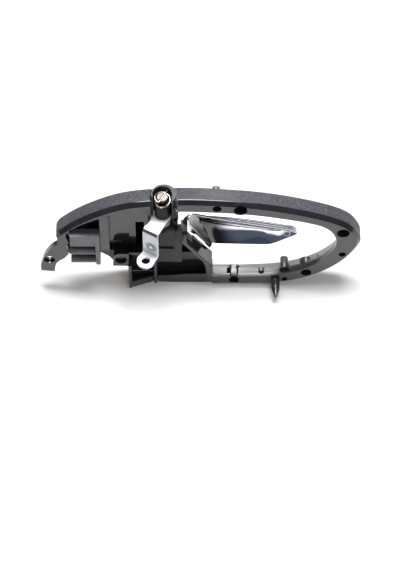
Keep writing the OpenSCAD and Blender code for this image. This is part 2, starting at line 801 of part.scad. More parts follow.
module crank_lever() {
    color([0.88, 0.88, 0.9])
        swung()
            translate([pivot_x, pivot_y, 0])
                rotate([0, 0, -web_turn])
                    difference() {
                        union() {
                            intersection() {
                                translate([-30, 0, 0])
                                    rotate([90, 0, 90])
                                        linear_extrude(height = 60)
                                            crank_profile();
                                linear_extrude(height = ring_h)
                                    crank_plan();
                            }
                            // Pressed dimple on the web
                            peg([1.4, arm_z - 13.8], 1.6, -web_back - 0.6, 0.5 - web_back);
                        }
                        translate([0, 0, arm_z - 1])
                            cylinder(r = shaft_r + 0.01, h = sheet_t + 2);
                        translate([eye_centre[0], eye_centre[1], 0])
                            cylinder(r = eye_hole_r, h = arm_z - 5);
                    }
}

// Outline of the casting, clockwise from its upper left corner
tip_x = pivot_x + handle_len;
root_z = barrel_top - 6.8;
handle_knots = [
    [pivot_x + 18.3, root_z + 16.1], [2.6, root_z + 12.2], [22, root_z + 7.4], [42, root_z + 2.4],
    [tip_x - 6, root_z - 0.9], [tip_x - 1.6, root_z - 3.2], [tip_x, root_z - 5.2],
    [tip_x - 2.4, root_z - 8], [tip_x - 8, root_z - 11.8], [44, root_z + 12.2 - handle_h],
    [36, root_z + 11.4 - handle_h], [3, root_z + 12.6 - handle_h], [1.4, root_z - 21.6],
    [pivot_x + 13, root_z + 7.6], [pivot_x + 14.2, root_z + 12]];

hollow_mid = [22, root_z - 4];
hollow_floor = [for (p = inward(handle_knots, shell_t)) hollow_mid + 0.7 * (p - hollow_mid)];

module crown(r) {
    translate([pivot_x + 20, crown_y - crown_r, root_z - 4.6])
        rotate([0, 90, -crown_slope])
            translate([0, 0, -60])
                cylinder(r = r, h = 180, $fn = 96);
}

module pull_handle() {
    inside = inward(handle_knots, shell_t);
    color([0.8, 0.81, 0.84])
        swung()
            difference() {
                union() {
                    intersection() {
                        slab(handle_knots, rim_y, crown_y + 1);
                        crown(crown_r);
                    }
                    // Hinge barrel and the arm that joins it to the casting
                    hinge_rod(barrel_r, hinge_low, barrel_top);
                    block([pivot_x, pivot_y + 1, barrel_top - 8.4],
                        [pivot_x + 16, pivot_y + barrel_r - 0.6, barrel_top]);
                    block([pivot_x + 12, pivot_y + 1, barrel_top - 8.4],
                        [pivot_x + 16.5, rim_y + 2.6, barrel_top]);
                }
                // Hollow back, with sloping walls
                intersection() {
                    hull() {
                        slab(inside, rim_y - 1, rim_y + 0.3);
                        slab(hollow_floor, crown_y - 3.6, crown_y);
                    }
                    crown(crown_r - shell_t);
                }
                hinge_rod(shaft_r + 0.01, hinge_low - 1, barrel_top + 1);
            }
}

// Rubber piece at the low end of the casting's hinge edge
module handle_bumper() {
    color([0.05, 0.05, 0.05])
        swung()
            slab([[-2.2, root_z - 16], [2.4, root_z - 18.6], [1.3, root_z - 21.2], [-0.6, root_z - 18.6]],
                rim_y - 1.1, rim_y - 0.05);
}

// Small pad on the middle of that edge
module handle_pad() {
    color([0.05, 0.05, 0.05])
        swung()
            slab([[-11.4, root_z - 2.6], [-10.9, root_z - 1.9], [-8.4, root_z - 4.2], [-9.4, root_z - 4.9]],
                rim_y - 0.9, rim_y - 0.05);
}

module clip_rib(z, r) {
    translate([clip_left, 0.4 - r, z])
        rotate([0, 90, 0])
            cylinder(r = r, h = clip_len);
}

module cable_clip() {
    low = clip_top - clip_h;
    color([0.36, 0.36, 0.38])
        difference() {
            union() {
                block([clip_left, 0, low + 1.5], [clip_right, clip_front, clip_top]);
                block([clip_left, -3, clip_top - 11], [clip_right, 1, clip_top]);
                clip_rib(clip_top - 17.2, clip_rib_r);
                block([clip_left, -2.1, clip_top - 18.6], [clip_right, 1, clip_top - 15.8]);
                clip_rib(clip_top - 26.4, clip_rib_r + 0.1);
                // Side flange with its rounded lower lobe
                block([clip_right - 0.5, -4, low + 1], [clip_right + clip_flange_t, clip_front, clip_top]);
                translate([clip_right - 0.5, -1.2, low + 1])
                    rotate([0, 90, 0])
                        cylinder(r = 2.8, h = clip_flange_t + 0.5);
                // Small ear at the left end
                block([clip_left - 2.3, -3, clip_pin_at[1] - 2.1],
                    [clip_left + 0.5, 2.8, clip_pin_at[1] + 1.9]);
            }
            peg(clip_pin_at, 0.7, -4, clip_front + 1);
        }
}

module clip_pin() {
    color([0.6, 0.6, 0.62])
        union() {
            peg(clip_pin_at, 0.69, -3.2, 2.8);
            peg(clip_pin_at, 1.1, -3.8, -3.02);
        }
}

module trim_screw(i) {
    color([0.7, 0.7, 0.72])
        difference() {
            union() {
                peg(screw_sites[i], screw_head_r, well_y - screw_head_h, well_y - 0.02);
                peg(screw_sites[i], screw_shank_r - 0.02, well_y - 0.1, well_y + screw_reach(i));
            }
            // Cross recess
            for (a = [0, 90])
                translate([screw_sites[i][0], well_y - screw_head_h - 0.1, screw_sites[i][1]])
                    rotate([0, a, 0])
                        translate([-1.6, 0, -0.3])
                            cube([3.2, 1.1, 0.6]);
        }
}

// The screw at the right end is shorter, because the front slopes there
function screw_reach(i) = i == 1 ? screw_shank - 1.4 : screw_shank;

module trim_screw_1() {
    trim_screw(0);
}

module trim_screw_2() {
    trim_screw(1);
}

module trim_screw_3() {
    trim_screw(2);
}

module trim_screw_4() {
    trim_screw(3);
}

carrier_upper_rail();
carrier_end_upper();
carrier_end_lower();
carrier_lower_rail();
carrier_left_rail();
carrier_clip_bay();
carrier_panel();
carrier_box();
carrier_pocket();
carrier_sweep_top();
carrier_ear();
trim_ring();
pivot_bracket();
upper_bushing();
lower_bushing();
thrust_washer();
pivot_pin();
pin_retainer();
spacer_sleeve();
spring_collar();
return_spring();
crank_lever();
pull_handle();
handle_bumper();
handle_pad();
cable_clip();
clip_pin();
trim_screw_1();
trim_screw_2();
trim_screw_3();
trim_screw_4();
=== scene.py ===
"""Inner door handle of a car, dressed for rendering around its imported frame.

Each operator makes one piece or one group of like pieces. main() runs them in order.
"""

import math

import bpy
from bpy.props import FloatProperty, FloatVectorProperty, PointerProperty
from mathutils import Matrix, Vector, kdtree


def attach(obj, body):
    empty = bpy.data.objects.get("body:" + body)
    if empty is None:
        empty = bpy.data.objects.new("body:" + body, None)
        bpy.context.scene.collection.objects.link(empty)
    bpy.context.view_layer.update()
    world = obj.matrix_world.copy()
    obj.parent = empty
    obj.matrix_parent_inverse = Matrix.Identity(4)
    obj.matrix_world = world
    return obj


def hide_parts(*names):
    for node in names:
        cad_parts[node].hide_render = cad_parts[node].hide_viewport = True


bl_info = {
    "name": "Car interior door handle",
    "version": (1, 0, 0),
    "blender": (4, 5, 0),
    "location": "View3D > Sidebar > Door handle",
    "description": "Makes the looks of an inner door handle around its frame",
    "category": "Object",
}

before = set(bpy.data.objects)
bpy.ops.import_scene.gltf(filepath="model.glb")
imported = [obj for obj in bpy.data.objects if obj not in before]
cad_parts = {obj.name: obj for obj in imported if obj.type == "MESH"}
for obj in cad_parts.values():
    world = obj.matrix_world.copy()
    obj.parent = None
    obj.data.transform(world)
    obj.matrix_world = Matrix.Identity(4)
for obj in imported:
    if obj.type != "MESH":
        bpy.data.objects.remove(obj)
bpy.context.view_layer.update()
MM = 0.001
# Double vertices of a frame node lie closer than WELD, and those of a fine grid than FINE_WELD
WELD = 0.02 * MM
FINE_WELD = 0.004 * MM
# Edges that turn more than this, in degrees, are rounded or stay sharp
EDGE_ANGLE = 32
# Sockets of a Mix node that mixes colours
COLOUR_A, COLOUR_B, COLOUR_OUT = 6, 7, 2

# Lengths from here on are in mm. Outlines in X and Z, as the frame's solids have them: the ring's
# outer edge and the inner edge of its back flange, clockwise from the left
RING_OUTER = [
    (-103.8, 54), (-97.2, 65.4), (-80, 79), (-59, 89.7), (-36, 94), (-6, 94.9), (34.6, 90.4),
    (68, 81.6), (91, 71.2), (101.4, 59.4), (103.5, 46), (92, 25.2), (72.2, 9.3), (48, 1.1),
    (16, 0), (-16, 0), (-38, 1.3), (-57, 7.6), (-74.5, 20.8), (-93, 38.2)]
RING_INNER = [
    (-97, 56), (-90.6, 67), (-73, 77.8), (-56, 83.6), (-30, 85.2), (-6, 85), (28, 81.8),
    (62, 74.2), (80.6, 66), (87.6, 51), (82.4, 35.6), (70, 22), (50, 12.8), (22, 9.9),
    (-10, 9.9), (-36, 8), (-60, 15), (-85, 35)]
# How far the carrier's chamfer reaches down from the ring's back at its outer edge
CHAMFER = 2.6

# The pull handle's edge in the same plane: along the top to the tip, along the bottom to the tip,
# and up the hinge side. A crease runs from the top to the bottom's start
BLADE_TOP = [
    (-12.4, 65.7), (2.6, 61.2), (22, 56), (42, 51), (55.7, 47.7), (60.1, 45.4), (61.7, 43.4)]
BLADE_BOTTOM = [(3, 31.2), (36, 30), (44, 30.8), (53.7, 36.8), (59.3, 40.6), (61.7, 43.4)]
BLADE_HINGE_TOP = [(-17.7, 56.2), (-16.5, 60.6), (-12.4, 65.7)]
BLADE_HINGE_LOW = (1.4, 27)
CREASE_TOP = (-8.6, 64.6)
# The rim of the blade's hollow back, and its front: an arc round an axis that leans along X
RIM_Y = 13.2
CROWN_Y, CROWN_R, CROWN_X, CROWN_Z = 23, 26, -10.7, 44
CROWN_SLOPE = 4.4
FRONT_RADIUS = 1.1
# Room cut out of the frame's casting around the blade
BLADE_ROOM = 0.6
# Share of the way from the hinge side to the crease, and how far the facet lies under the rim there
NECK_DROPS = (
    (0, 0.5), (0.012, 0.12), (0.04, 0), (0.2, 0), (0.225, 0.3), (0.25, 1.9), (0.3, 2.3),
    (0.4, 2.3), (0.5, 2.1), (0.6, 1.8), (0.7, 1.45), (0.8, 1.05), (0.9, 0.6), (0.96, 0.25))
# Down one column of the grid: distances below the top edge and in front of the rim, for the
# rounded rim, and for the undercut and the narrow band over the bowl
RIM_ROWS = ((0, 0.5), (0.12, 0.12), (0.35, 0), (0.95, 0))
BAND_ROWS = ((1.35, 0.55), (1.5, 0.6), (2.4, 0.1), (2.5, 0.1))
# They shrink with the blade where it is lower than this
FULL_HEIGHT = 9
# The bowl's slope in degrees by share of its height, along the blade and at its tip, and its depth
# as a share of its height
BOWL_SLOPES = ((0, 33), (0.2, 33), (0.26, 27), (0.46, 4), (0.53, -16), (0.62, -20), (1, -31))
TIP_SLOPES = ((0, 58), (0.18, 58), (0.22, -15), (0.5, -20), (1, -27))
BOWL_SHARE = 0.224
# The grid's columns and rows in the bowl, the rows of the top wall, and its beads' height
BOWL_COLUMNS = 150
BOWL_ROWS = 80
WALL_ROWS = 16
BEAD = 0.2
# The ring that an ejector left near the tip, and the bowl's outward direction there
MARK_AT = (54.3, 14.75, 41.4)
MARK_OUT = (-0.21, -0.92, 0.33)
# The dot pressed into the lever's web
PRESSED_DOT = (-38.7, -11.2, 60.8)

# The camera, as the photo was taken: degrees above the floor, and lengths in metres
CAMERA_TILT = 55
CAMERA_DISTANCE = 1.6
CAMERA_TARGET = Vector((-0.0056, 0, 0))
CAMERA_LENS = 144.36
FLOOR_COLOUR = (0.82, 0.81, 0.8)


def length(name, description, default, low, high):
    """Length property, given in mm."""
    return FloatProperty(
        name=name, description=description, default=default * MM, min=low * MM, max=high * MM,
        unit="LENGTH")


class DoorHandleSizes(bpy.types.PropertyGroup):
    """Sizes of the finish that the frame doesn't give."""

    edge_radius: length("Edge radius", "Radius of the moulded edges", 0.35, 0.05, 1.0)
    metal_edge_radius: length(
        "Metal edge radius", "Radius of the lever's and the pins' edges", 0.2, 0.05, 0.6)
    bowl_depth: length("Bowl depth", "Depth of the hollow in the pull handle's back", 5.6, 2, 6)
    grain_size: length("Grain size", "Size of one cell of the trim ring's grain", 1.1, 0.2, 2)


def colour(name, description, default):
    """Colour property with a swatch."""
    return FloatVectorProperty(
        name=name, description=description, default=default, subtype="COLOR", size=3, min=0, max=1)


class DoorHandleColours(bpy.types.PropertyGroup):
    """Colours of the pieces."""

    carrier: colour("Carrier", "Glossy black moulding", (0.012, 0.012, 0.014))
    trim: colour("Trim ring", "Grained charcoal moulding", (0.014, 0.014, 0.016))
    bracket: colour("Bracket", "Matte black moulding", (0.006, 0.006, 0.008))
    clip: colour("Clip", "Dark grey moulding", (0.045, 0.045, 0.05))
    chrome: colour("Chrome", "Plating of the pull handle", (0.86, 0.87, 0.9))
    zinc: colour("Zinc", "Plating of the crank lever", (0.93, 0.94, 0.97))
    steel: colour("Steel", "Pins and washers", (0.24, 0.235, 0.225))


def sizes():
    return bpy.context.scene.door_handle_sizes


def colours():
    return bpy.context.scene.door_handle_colours


def deselect():
    """Leaves edit mode with nothing selected."""
    if bpy.context.object and bpy.context.object.mode != "OBJECT":
        bpy.ops.object.mode_set(mode="OBJECT")
    bpy.ops.object.select_all(action="DESELECT")


def take(piece):
    """Selects one piece alone and makes it the active one."""
    deselect()
    piece.select_set(True)
    bpy.context.view_layer.objects.active = piece
    return piece


def apply_modifiers(piece):
    take(piece)
    for modifier in list(piece.modifiers):
        bpy.ops.object.modifier_apply(modifier=modifier.name)


def finish_piece(piece, name, body, material):
    """Names a piece, gives it its material and sets it on its body."""
    piece.name = name
    piece.data.name = name
    piece.data.materials.clear()
    piece.data.materials.append(material)
    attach(piece, body)
    return piece


def welded(piece, weld=WELD, flat=1.5):
    """Merges double vertices, and faces that turn less than flat degrees."""
    take(piece)
    if piece.data.has_custom_normals:
        bpy.ops.mesh.customdata_custom_splitnormals_clear()
    bpy.ops.object.mode_set(mode="EDIT")
    bpy.ops.mesh.select_all(action="SELECT")
    bpy.ops.mesh.remove_doubles(threshold=weld)
    bpy.ops.mesh.dissolve_limited(angle_limit=math.radians(flat))
    bpy.ops.mesh.select_all(action="SELECT")
    bpy.ops.mesh.normals_make_consistent(inside=False)
    bpy.ops.object.mode_set(mode="OBJECT")
    return piece


def copy_of(node):
    """Free copy of a frame node."""
    take(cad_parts[node])
    bpy.ops.object.duplicate(linked=False)
    piece = bpy.context.object
    for key in list(piece.keys()):
        if key.startswith("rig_"):
            del piece[key]
    piece.parent = None
    return piece


def combined(piece, other, operation):
    """Adds another mesh to a piece or cuts it out, and removes it."""
    boolean = piece.modifiers.new("boolean", "BOOLEAN")
    boolean.operation = operation
    boolean.solver = "EXACT"
    boolean.object = other
    apply_modifiers(piece)
    bpy.data.objects.remove(other)


def united(nodes):
    """One mesh out of copies of nodes that meet at flat cuts."""
    piece = welded(copy_of(nodes[0]))
    for node in nodes[1:]:
        combined(piece, welded(copy_of(node)), "UNION")
    return welded(piece)


def new_piece(name, points, faces):
    """Object out of points in mm and faces."""
    mesh = bpy.data.meshes.new(name)
    mesh.from_pydata([co * MM for co in points], [], faces)
    piece = bpy.data.objects.new(name, mesh)
    bpy.context.scene.collection.objects.link(piece)
    return piece


def refined(node, radius, segments=2, angle=EDGE_ANGLE):
    """Copy of a frame node with rounded edges and smooth shading."""
    return rounded(welded(copy_of(node)), radius, segments, angle)


def rounded(piece, radius, segments=2, angle=EDGE_ANGLE):
    """Rounds a piece's edges and shades it smooth."""
    take(piece)
    if radius > 0:
        bevel = piece.modifiers.new("edges", "BEVEL")
        bevel.width = radius
        bevel.segments = segments
        bevel.limit_method = "ANGLE"
        bevel.angle_limit = math.radians(angle)
        bevel.harden_normals = True
        bevel.use_clamp_overlap = True
        bevel.miter_outer = "MITER_ARC"
        apply_modifiers(piece)
    bpy.ops.object.shade_smooth_by_angle(angle=math.radians(angle))
    weighted = piece.modifiers.new("shading", "WEIGHTED_NORMAL")
    weighted.mode = "FACE_AREA"
    weighted.weight = 100
    weighted.keep_sharp = True
    apply_modifiers(piece)
    return piece


def curve_point(a, b, c, d, t):
    """Point at t between b and c on the smooth curve through a, b, c and d."""
    return 0.5 * (
        2 * b + (c - a) * t + (2 * a - 5 * b + 4 * c - d) * t * t + (3 * b - a - 3 * c + d) * t**3)


def closed_curve(knots, steps):
    """Smooth closed curve through knots."""
    count = len(knots)
    points = []
    for i in range(count):
        a, b, c, d = (Vector(knots[(i + k) % count]) for k in (-1, 0, 1, 2))
        points += [curve_point(a, b, c, d, s / steps) for s in range(steps)]
    return points


class Outline:
    """Closed smooth outline that gives the outward direction next to any point, in mm."""

    def __init__(self, knots, steps=40):
        self.points = closed_curve(knots, steps)
        self.tree = kdtree.KDTree(len(self.points))
        for i, point in enumerate(self.points):
            self.tree.insert((point.x, 0, point.y), i)
        self.tree.balance()

    def nearest(self, x, z):
        """Distance inwards from the outline, and its outward direction there."""
        _, i, _ = self.tree.find((x, 0, z))
        ahead = self.points[(i + 1) % len(self.points)] - self.points[i - 1]
        out = Vector((-ahead.y, ahead.x)).normalized()
        return (self.points[i] - Vector((x, z))).dot(out), out


def follow_outline(piece, outline, reach, sign=1, steps=(0, 45, 90)):
    """Turns the shading normals of the walls along an outline to the smooth outline's own.

    reach is how far inwards from the outline they lie, in mm, sign is -1 for walls that face
    inwards, and steps are the leans in degrees that a wall near them is set to.
    """
    slack = 8
    mesh = piece.data
    normals = [Vector(n.vector) for n in mesh.corner_normals]
    near = {}
    for loop in mesh.loops:
        v = loop.vertex_index
        if v not in near:
            co = mesh.vertices[v].co / MM
            near[v] = outline.nearest(co.x, co.z)
        depth, out = near[v]
        if not reach[0] < depth < reach[1]:
            continue
        n = normals[loop.index]
        # Only walls that face along the outline's own direction, apart from their lean
        across = sign * (n.x * out.x + n.z * out.y)
        flat = math.hypot(n.x, n.z)
        if flat < 0.2 or across < 0.9 * flat:
            continue
        lean = math.degrees(math.atan2(-n.y, flat))
        for step in steps:
            if abs(lean - step) < slack:
                lean = step
        lean = math.radians(lean)
        wall = math.cos(lean) * sign
        normals[loop.index] = Vector((out.x * wall, -math.sin(lean), out.y * wall))
    mesh.normals_split_custom_set(normals)


def paint(piece, material, chosen):
    """Gives a second material to the faces whose centre, in mm, and normal are chosen."""
    piece.data.materials.append(material)
    index = len(piece.data.materials) - 1
    for face in piece.data.polygons:
        if chosen(face.center / MM, face.normal):
            face.material_index = index


def lerp(a, b, t):
    """Number at the share t between a and b."""
    return a + (b - a) * t


def ease(t):
    """Soft step from 0 to 1."""
    t = min(max(t, 0), 1)
    return t * t * (3 - 2 * t)


def along(points, t):
    """Point at the share t of the length of an open line of points."""
    lengths = [(b - a).length for a, b in zip(points, points[1:])]
    left = t * sum(lengths)
    for a, b, part in zip(points, points[1:], lengths):
        if left <= part:
            return a.lerp(b, left / part)
        left -= part
    return points[-1].copy()


def open_curve(knots, steps=8):
    """Smooth curve through knots, ends included."""
    k = [Vector(p) for p in (knots[0], *knots, knots[-1])]
    points = []
    for i in range(1, len(k) - 2):
        points += [curve_point(k[i - 1], k[i], k[i + 1], k[i + 2], s / steps) for s in range(steps)]
    return points + [k[-1]]


def skin(name, back, front):
    """Closed solid between two grids of points of the same size, in mm."""
    columns, rows = len(back), len(back[0])
    points = [co for grid in (back, front) for column in grid for co in column]

    def at(layer, i, j):
        return layer * columns * rows + i * rows + j

    faces = []
    for i in range(columns - 1):
        for j in range(rows - 1):
            faces.append((at(0, i, j), at(0, i, j + 1), at(0, i + 1, j + 1), at(0, i + 1, j)))
            faces.append((at(1, i, j), at(1, i + 1, j), at(1, i + 1, j + 1), at(1, i, j + 1)))
    for i in range(columns - 1):
        for j in (0, rows - 1):
            faces.append((at(0, i, j), at(0, i + 1, j), at(1, i + 1, j), at(1, i, j)))
    for j in range(rows - 1):
        for i in (0, columns - 1):
            faces.append((at(0, i, j), at(1, i, j), at(1, i, j + 1), at(0, i, j + 1)))
    return welded(new_piece(name, points, faces), weld=FINE_WELD, flat=0.001)


def new_group(name, inputs, outputs):
    """Node group with inputs by name and default, and numbers as outputs."""
    group = bpy.data.node_groups.new(name, "ShaderNodeTree")
    for label, default in inputs.items():
        kind = "NodeSocketVector" if isinstance(default, tuple) else "NodeSocketFloat"
        socket = group.interface.new_socket(name=label, in_out="INPUT", socket_type=kind)
        socket.default_value = default
    for label in outputs:
        group.interface.new_socket(name=label, in_out="OUTPUT", socket_type="NodeSocketFloat")
    start = place(group, "NodeGroupInput", -900, 0)
    end = place(group, "NodeGroupOutput", 600, 0)
    return group, start, end


def place(tree, kind, x, y, given=None, **values):
    """Adds a node with its settings, and with given as its inputs' values."""
    node = tree.nodes.new(kind)
    node.location = (x, y)
    for key, value in values.items():
        setattr(node, key, value)
    for key, value in (given or {}).items():
        node.inputs[key].default_value = value
    return node


def grain_group():
    """Leather-like moulded grain: shallow cells with fine noise between them."""
    if "moulded_grain" in bpy.data.node_groups:
        return bpy.data.node_groups["moulded_grain"]
    group, start, end = new_group(
        "moulded_grain", {"Vector": (0, 0, 0), "Cell scale": 1500.0}, ("Height", "Pits"))
    noise = place(group, "ShaderNodeTexNoise", -500, -200, {"Detail": 3.0, "Roughness": 0.6})
    half = place(group, "ShaderNodeMath", -700, -200, {1: 0.6}, operation="MULTIPLY")
    cells = place(
        group, "ShaderNodeTexVoronoi", -500, 100, {"Smoothness": 0.7}, feature="SMOOTH_F1")
    mixed = place(group, "ShaderNodeMath", -200, 0, {1: 0.7}, operation="MULTIPLY_ADD")
    pits = place(group, "ShaderNodeMapRange", 100, -150, {"From Min": 0.35, "From Max": 0.9})
    link = group.links.new
    link(start.outputs["Vector"], noise.inputs["Vector"])
    link(start.outputs["Vector"], cells.inputs["Vector"])
    link(start.outputs["Cell scale"], cells.inputs["Scale"])
    link(start.outputs["Cell scale"], half.inputs[0])
    link(half.outputs[0], noise.inputs["Scale"])
    link(noise.outputs["Fac"], mixed.inputs[0])
    link(cells.outputs["Distance"], mixed.inputs[2])
    link(mixed.outputs[0], end.inputs["Height"])
    link(mixed.outputs[0], pits.inputs["Value"])
    link(pits.outputs["Result"], end.inputs["Pits"])
    return group


def smudge_group():
    """Slow patches of handling marks and dust."""
    if "handling_marks" in bpy.data.node_groups:
        return bpy.data.node_groups["handling_marks"]
    group, start, end = new_group(
        "handling_marks",
        {"Vector": (0, 0, 0), "Patch scale": 60.0, "Low": 0.25, "High": 0.35},
        ("Mask", "Roughness"))
    noise = place(group, "ShaderNodeTexNoise", -500, 0, {"Detail": 5.0})
    spread = place(group, "ShaderNodeMapRange", -200, 0, {"From Min": 0.35, "From Max": 0.68})
    levels = place(group, "ShaderNodeMapRange", 100, -150)
    link = group.links.new
    link(start.outputs["Vector"], noise.inputs["Vector"])
    link(start.outputs["Patch scale"], noise.inputs["Scale"])
    link(noise.outputs["Fac"], spread.inputs["Value"])
    link(spread.outputs["Result"], end.inputs["Mask"])
    link(spread.outputs["Result"], levels.inputs["Value"])
    link(start.outputs["Low"], levels.inputs["To Min"])
    link(start.outputs["High"], levels.inputs["To Max"])
    link(levels.outputs["Result"], end.inputs["Roughness"])
    return group


def mask_group(name, operation, labels, given=None):
    """Soft step between two values of a vector's distance from another or product with it."""
    if name in bpy.data.node_groups:
        return bpy.data.node_groups[name]
    other, first, second = labels
    group, start, end = new_group(
        name, {"Vector": (0, 0, 0), other: (0, 0, 0), first: 0.0, second: 1.0}, ("Mask",))
    product = place(group, "ShaderNodeVectorMath", -500, 0, operation=operation)
    mask = place(group, "ShaderNodeMapRange", -200, 0, given, interpolation_type="SMOOTHSTEP")
    link = group.links.new
    link(start.outputs["Vector"], product.inputs[0])
    link(start.outputs[other], product.inputs[1])
    link(product.outputs["Value"], mask.inputs["Value"])
    link(start.outputs[first], mask.inputs["From Min"])
    link(start.outputs[second], mask.inputs["From Max"])
    link(mask.outputs["Result"], end.inputs["Mask"])
    return group


def spot_group():
    """One within a distance of a centre, nought farther off."""
    return mask_group("spot", "DISTANCE", ("Centre", "Inner", "Outer"), {"To Min": 1, "To Max": 0})


def shade_group():
    """One on the far side of a slanted plane, nought on the near one, soft between them."""
    return mask_group("slanted_shade", "DOT_PRODUCT", ("Direction", "From", "To"))


def start_material(name, base, metallic=0.0, roughness=0.4):
    """Material of one shader, with the piece's coordinates beside it."""
    material = bpy.data.materials.new(name)
    material.use_nodes = True
    shader = material.node_tree.nodes["Principled BSDF"]
    shader.inputs["Base Color"].default_value = (*base, 1)
    shader.inputs["Metallic"].default_value = metallic
    shader.inputs["Roughness"].default_value = roughness
    place(material.node_tree, "ShaderNodeTexCoord", -1400, 0)
    return material


def nodes_of(material):
    """A material's tree, the socket of its piece's coordinates, and its shader."""
    tree = material.node_tree
    coords = next(n for n in tree.nodes if n.bl_idname == "ShaderNodeTexCoord")
    return tree, coords.outputs["Object"], tree.nodes["Principled BSDF"]


def handled(material, patches, low, high):
    """Puts handling marks in the roughness, from low to high, and gives their mask."""
    tree, at, shader = nodes_of(material)
    marks = place(
        tree, "ShaderNodeGroup", -1000, 0, {"Patch scale": patches, "Low": low, "High": high},
        node_tree=smudge_group())
    tree.links.new(at, marks.inputs["Vector"])
    tree.links.new(marks.outputs["Roughness"], shader.inputs["Roughness"])
    return marks.outputs["Mask"]


def tinted(material, base, other, mask):
    """Mixes another colour into the base colour by a mask."""
    tree, _, shader = nodes_of(material)
    tint = place(
        tree, "ShaderNodeMix", -600, 200, {COLOUR_A: (*base, 1), COLOUR_B: (*other, 1)},
        data_type="RGBA")
    tree.links.new(mask, tint.inputs[0])
    tree.links.new(tint.outputs[COLOUR_OUT], shader.inputs["Base Color"])


def embossed(material, height, strength, distance):
    """Bumps a surface by a height."""
    tree, _, shader = nodes_of(material)
    relief = place(
        tree, "ShaderNodeBump", -400, -300, {"Strength": strength, "Distance": distance})
    tree.links.new(height, relief.inputs["Height"])
    tree.links.new(relief.outputs["Normal"], shader.inputs["Normal"])


def moulded(name, base, low, high, bump=0.03, scale=900.0, lighter=1.6, patches=60.0, ior=1.5,
            speckle=0.0, deep=0.2):
    """Moulded plastic: grain in the bump, patches in the roughness and the colour.

    speckle is the share of the grain's pits in the colour, and deep the grain's depth in mm.
    """
    if name in bpy.data.materials:
        return bpy.data.materials[name]
    material = start_material(name, base)
    tree, at, shader = nodes_of(material)
    shader.inputs["IOR"].default_value = ior
    grain = place(
        tree, "ShaderNodeGroup", -1000, -300, {"Cell scale": scale}, node_tree=grain_group())
    share = place(tree, "ShaderNodeMix", -800, 200, {0: speckle})
    link = tree.links.new
    link(at, grain.inputs["Vector"])
    link(handled(material, patches, low, high), share.inputs[2])
    link(grain.outputs["Pits"], share.inputs[3])
    tinted(material, base, tuple(min(1, c * lighter) for c in base), share.outputs[0])
    embossed(material, grain.outputs["Height"], bump, deep * MM)
    return material


def carrier_plastic():
    return moulded(
        "glossy_black_plastic", colours().carrier, 0.1, 0.22, scale=700, patches=45, ior=1.62)


def trim_plastic():
    plastic = moulded(
        "grained_charcoal_plastic", colours().trim, 0.4, 0.55, bump=1.0, lighter=6, patches=25,
        scale=1 / sizes().grain_size, speckle=0.85, deep=0.6, ior=1.22)
    # Painted highlights: the grain is lighter beside the bracket and at two places of the left side
    return spotted(plastic, (
        ((5, 10, 82), 2, 24, (0.12, 0.12, 0.13)),
        ((-61, 10, 72), 1, 16, (0.09, 0.09, 0.095)),
        ((-97, 10, 45), 1, 18, (0.09, 0.09, 0.095)),
    ))


def polished_trim():
    return moulded(
        "polished_charcoal_plastic", colours().carrier, 0.28, 0.36, bump=0.01, scale=600, ior=1.65)


def bracket_plastic():
    return moulded("matte_black_plastic", colours().bracket, 0.45, 0.6, bump=0.12, scale=1200)


def clip_plastic():
    return moulded(
        "dark_grey_plastic", colours().clip, 0.3, 0.42, bump=0.7, scale=1000, lighter=2.5,
        ior=1.6, speckle=0.6, deep=0.4)


def bushing_plastic():
    return moulded("ivory_plastic", (0.55, 0.52, 0.44), 0.4, 0.5, bump=0.05, lighter=1.15)


def collar_plastic():
    # Black moulding, darkened and browned further as painted shade where the spring's turns around
    # it lie in shadow
    return moulded(
        "black_plastic_painted_shade", (0.012, 0.01, 0.009), 0.4, 0.55, bump=0.1, scale=800, lighter=2,
        ior=1.3)


def rubber():
    return moulded("black_rubber", (0.012, 0.012, 0.012), 0.6, 0.75, bump=0.25, scale=1500)


def plated(name, base, low, high, brushed=0.0, tint=None, patches=80.0, metallic=1.0):
    """Plated metal with faint handling marks and an optional fine brushing."""
    if name in bpy.data.materials:
        return bpy.data.materials[name]
    material = start_material(name, base, metallic=metallic)
    tree, at, _ = nodes_of(material)
    mask = handled(material, patches, low, high)
    tinted(material, base, tint or tuple(c * 0.86 for c in base), mask)
    if brushed:
        stretch = place(tree, "ShaderNodeMapping", -1150, -300, {"Scale": (2500, 2500, 120)})
        lines = place(tree, "ShaderNodeTexNoise", -900, -300, {"Scale": 1.0})
        tree.links.new(at, stretch.inputs["Vector"])
        tree.links.new(stretch.outputs[0], lines.inputs["Vector"])
        embossed(material, lines.outputs["Fac"], brushed, 0.05 * MM)
    return material


def spotted(material, spots):
    """Adds soft spots of painted light and shade, each by centre, inner and outer radius in mm, and
    colour.
    """
    tree, at, shader = nodes_of(material)
    if "spot" in tree.nodes:
        return material
    link = tree.links.new
    last = shader.inputs["Base Color"].links[0].from_socket
    for centre, inner, outer, spot_colour in spots:
        mask = place(
            tree, "ShaderNodeGroup", -700, 500, node_tree=spot_group(), name="spot", given={
                "Centre": Vector(centre) * MM, "Inner": inner * MM, "Outer": outer * MM})
        mixed = place(
            tree, "ShaderNodeMix", -300, 500, {COLOUR_B: (*spot_colour, 1)}, data_type="RGBA")
        link(at, mask.inputs["Vector"])
        link(mask.outputs["Mask"], mixed.inputs[0])
        link(last, mixed.inputs[COLOUR_A])
        last = mixed.outputs[COLOUR_OUT]
    link(last, shader.inputs["Base Color"])
    return material


